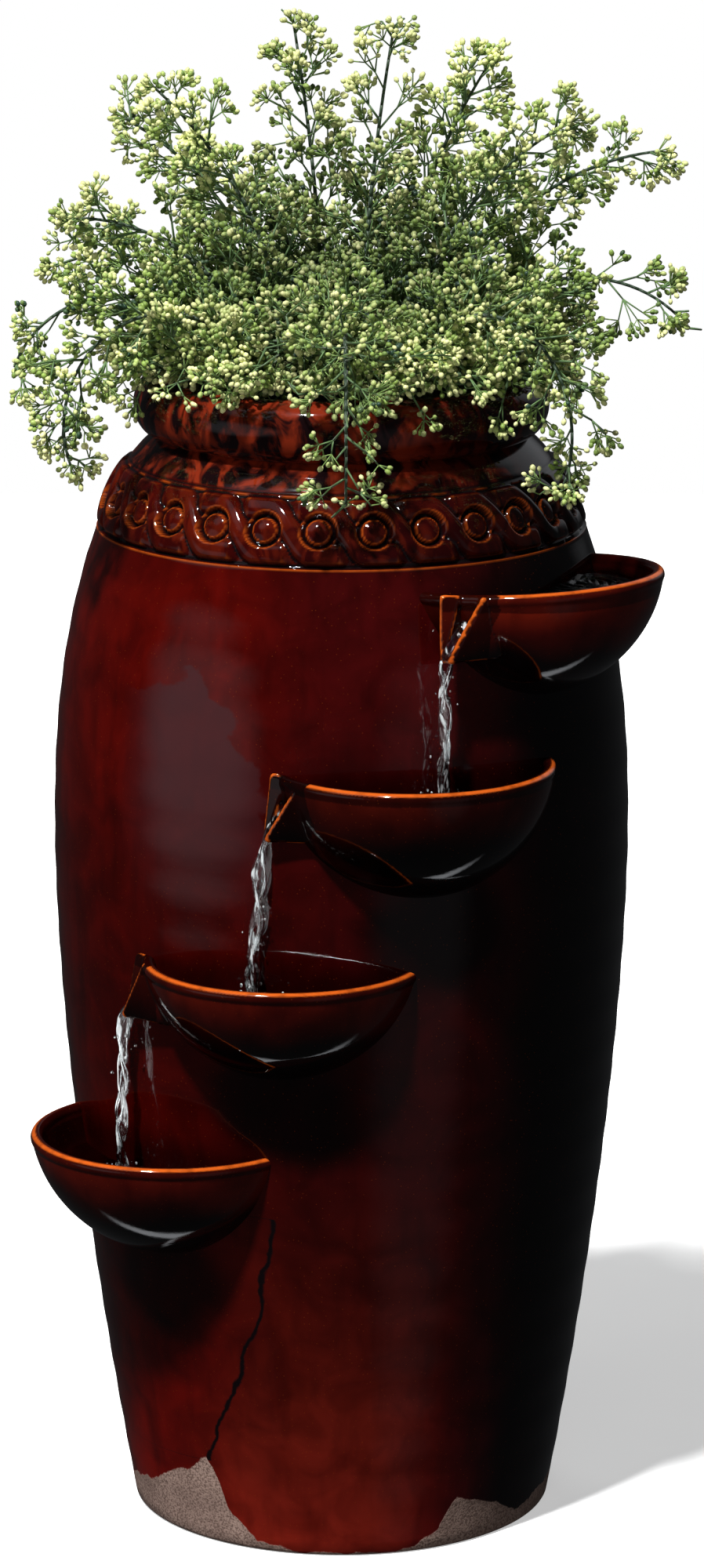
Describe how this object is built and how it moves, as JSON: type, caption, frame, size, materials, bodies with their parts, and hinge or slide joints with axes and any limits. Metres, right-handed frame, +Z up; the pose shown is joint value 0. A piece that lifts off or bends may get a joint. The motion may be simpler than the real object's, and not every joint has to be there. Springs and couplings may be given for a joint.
{
  "type": "cascading jar fountain",
  "caption": "Tall glazed jar fountain: half bowls step down its front with pouring lips, a small pump inside feeds the top bowl, and a planted pan hangs in the mouth.",
  "frame": {"origin": "centre of the jar's foot, on the surface it stands on", "axes": "+Z up along the jar's axis, -Y towards the front where the bowls step down, +X to the right seen from the front"},
  "size_m": [0.4931, 0.4677, 1.1019],
  "materials": {
    "jar_glaze": "gloss",
    "bowl_glaze": "gloss",
    "black_rubber": "matte",
    "black_plastic": "matte",
    "hose_rubber": "satin",
    "clip_steel": "satin",
    "pump_plastic": "satin",
    "magnet": "satin",
    "white_plastic": "satin",
    "shaft_ceramic": "satin",
    "sponge": "matte",
    "dial_plastic": "satin",
    "water": "polished",
    "falling_water": "polished",
    "pan_plastic": "matte",
    "floral_foam": "matte",
    "foliage": "satin"
  },
  "bodies": {
    "jar": {"jar_body": "jar_glaze", "top_bowl": "bowl_glaze", "second_bowl": "bowl_glaze", "third_bowl": "bowl_glaze", "bottom_bowl": "bowl_glaze", "outlet_grommet": "black_rubber", "outlet_elbow": "black_plastic", "supply_hose": "hose_rubber", "hose_clips": "clip_steel", "return_grommet": "black_rubber", "return_strainer": "black_plastic", "lead_gland": "black_rubber", "pump_housing": "pump_plastic", "volute_cover": "pump_plastic", "pump_screws": "clip_steel", "rotor_shaft": "shaft_ceramic", "shaft_bushes": "black_rubber", "pump_gland": "black_rubber", "suction_cups": "black_rubber", "top_water": "water", "second_water": "water", "third_water": "water", "bottom_water": "water", "top_stream": "falling_water", "second_stream": "falling_water", "third_stream": "falling_water"},
    "planter": {"planter_pan": "pan_plastic", "foam_block": "floral_foam", "spray_01": "foliage", "spray_02": "foliage", "spray_03": "foliage", "spray_04": "foliage", "spray_05": "foliage", "spray_06": "foliage", "spray_07": "foliage", "spray_08": "foliage", "spray_09": "foliage", "spray_10": "foliage", "spray_11": "foliage", "spray_12": "foliage", "spray_13": "foliage", "spray_14": "foliage", "spray_15": "foliage", "spray_16": "foliage", "spray_17": "foliage"},
    "rotor": {"rotor_magnet": "magnet", "impeller": "white_plastic"},
    "intake_cover": {"intake_cover": "pump_plastic", "filter_sponge": "sponge"},
    "flow_dial": {"flow_dial": "dial_plastic"},
    "drain_plug": {"drain_plug": "black_rubber"}
  },
  "joints": [
    {"name": "planter_lift", "type": "slide", "parent": "jar", "child": "planter", "axis": [0, 0, 1], "range_m": [0, 0.14]},
    {"name": "impeller_spin", "type": "hinge", "parent": "jar", "child": "rotor", "pos_m": [0.07765, -0.03457, 0.041], "axis": [0, 1, 0], "continuous": true},
    {"name": "intake_cover_pull", "type": "slide", "parent": "jar", "child": "intake_cover", "axis": [0, -1, 0], "range_m": [0, 0.03]},
    {"name": "flow_dial_turn", "type": "hinge", "parent": "intake_cover", "child": "flow_dial", "pos_m": [0.07765, -0.03457, 0.041], "axis": [0, 1, 0], "range_deg": [0, 90]},
    {"name": "drain_plug_pull", "type": "slide", "parent": "jar", "child": "drain_plug", "axis": [0, 1, 0], "range_m": [0, 0.03]}
  ]
}
